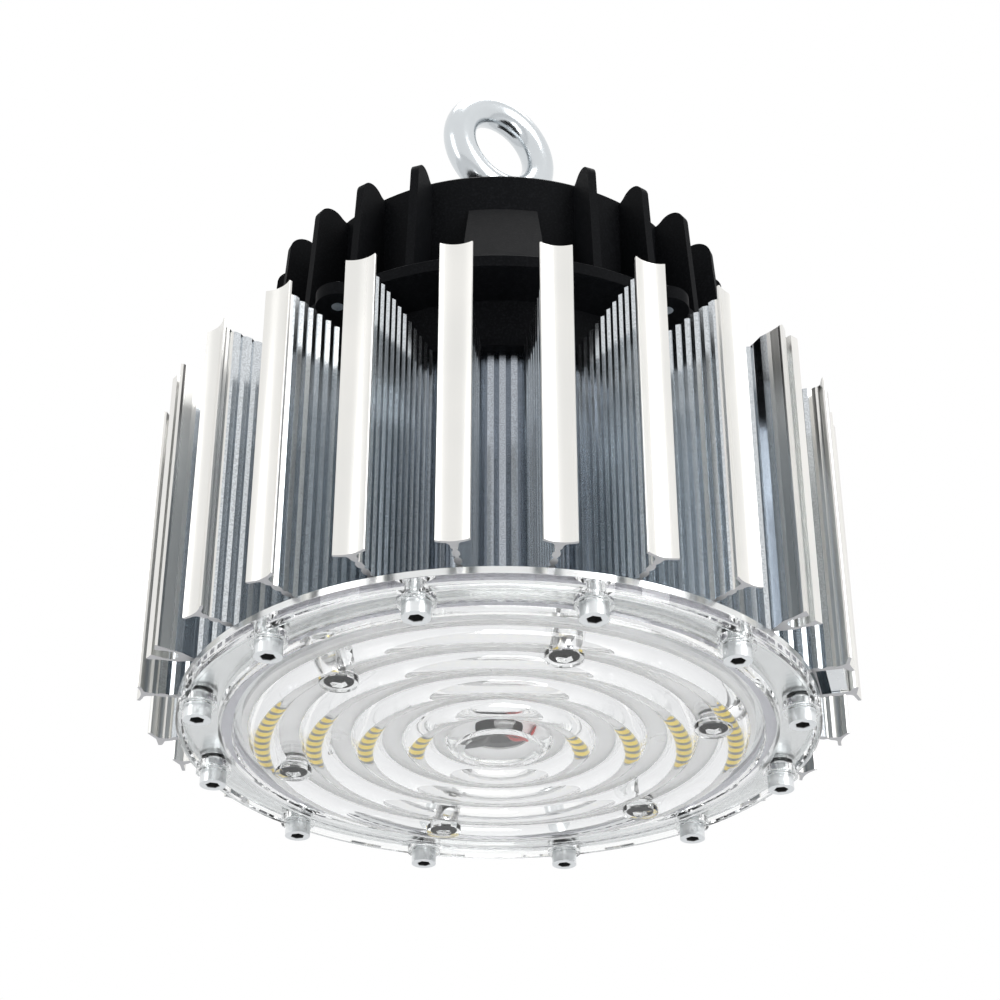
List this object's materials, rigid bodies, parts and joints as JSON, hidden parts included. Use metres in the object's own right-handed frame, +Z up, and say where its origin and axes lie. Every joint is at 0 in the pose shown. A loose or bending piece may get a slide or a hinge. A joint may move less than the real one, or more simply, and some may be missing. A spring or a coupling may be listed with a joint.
{
  "type": "high bay light",
  "caption": "Hanging high bay light: ribbed driver housing with a lifting eye over a round heat sink of flared radial fins and a clear lens with concentric ring optics",
  "frame": {"origin": "on the light's upright axis, at the level of the lens screw heads it can stand on", "axes": "+Z up along the axis towards the lifting eye, -Y the front with the plain label panel, +X to the right seen from the front"},
  "size_m": [0.2188, 0.2188, 0.2597],
  "materials": {
    "fin_aluminium": "satin extrusion",
    "hub_aluminium": "satin extrusion",
    "disc_aluminium": "turned, bright",
    "housing_black": "fine-textured powder coat",
    "zinc_steel": "zinc plated",
    "eye_steel": "zinc plated, satin",
    "seal_rubber": "moulded",
    "gasket_grey": "moulded silicone",
    "brass_post": "plated",
    "board_green": "solder mask",
    "winding_yellow": "tape",
    "capacitor_sleeve": "shrink sleeve",
    "gland_black": "nylon",
    "board_white": "white solder mask",
    "clear_lens": "clear polycarbonate",
    "lead_red": "silicone",
    "lead_black": "silicone"
  },
  "bodies": {
    "root": {"base_disc": "disc_aluminium", "black_lead": "lead_black", "board_screws": "board_white", "bracket_block": "zinc_steel", "cable_gland": "gland_black", "capacitors": "capacitor_sleeve", "channel_fin_left": "fin_aluminium", "channel_fin_right": "fin_aluminium", "driver_board": "board_green", "driver_housing": "housing_black", "driver_standoffs": "brass_post", "eye_bolt": "eye_steel", "eye_nut": "zinc_steel", "eye_washer": "zinc_steel", "fin_01": "fin_aluminium", "fin_02": "fin_aluminium", "fin_03": "fin_aluminium", "fin_05": "fin_aluminium", "fin_06": "fin_aluminium", "fin_07": "fin_aluminium", "fin_08": "fin_aluminium", "fin_09": "fin_aluminium", "fin_11": "fin_aluminium", "fin_12": "fin_aluminium", "fin_13": "fin_aluminium", "fin_14": "fin_aluminium", "fin_15": "fin_aluminium", "fin_17": "fin_aluminium", "fin_18": "fin_aluminium", "fin_19": "fin_aluminium", "fin_20": "fin_aluminium", "forked_fin_04": "fin_aluminium", "forked_fin_10": "fin_aluminium", "forked_fin_16": "fin_aluminium", "gland_cap": "gland_black", "gland_sleeve": "seal_rubber", "heat_sink_hub": "hub_aluminium", "housing_base": "housing_black", "housing_screws": "zinc_steel", "housing_seal": "seal_rubber", "led_board": "board_white", "lens": "clear_lens", "lens_gasket": "gasket_grey", "lens_plugs": "clear_lens", "lens_screws": "zinc_steel", "neck_screws": "zinc_steel", "red_lead": "lead_red", "transformer": "winding_yellow", "transistor_bar": "hub_aluminium", "wire_grommet": "seal_rubber"}
  },
  "joints": []
}
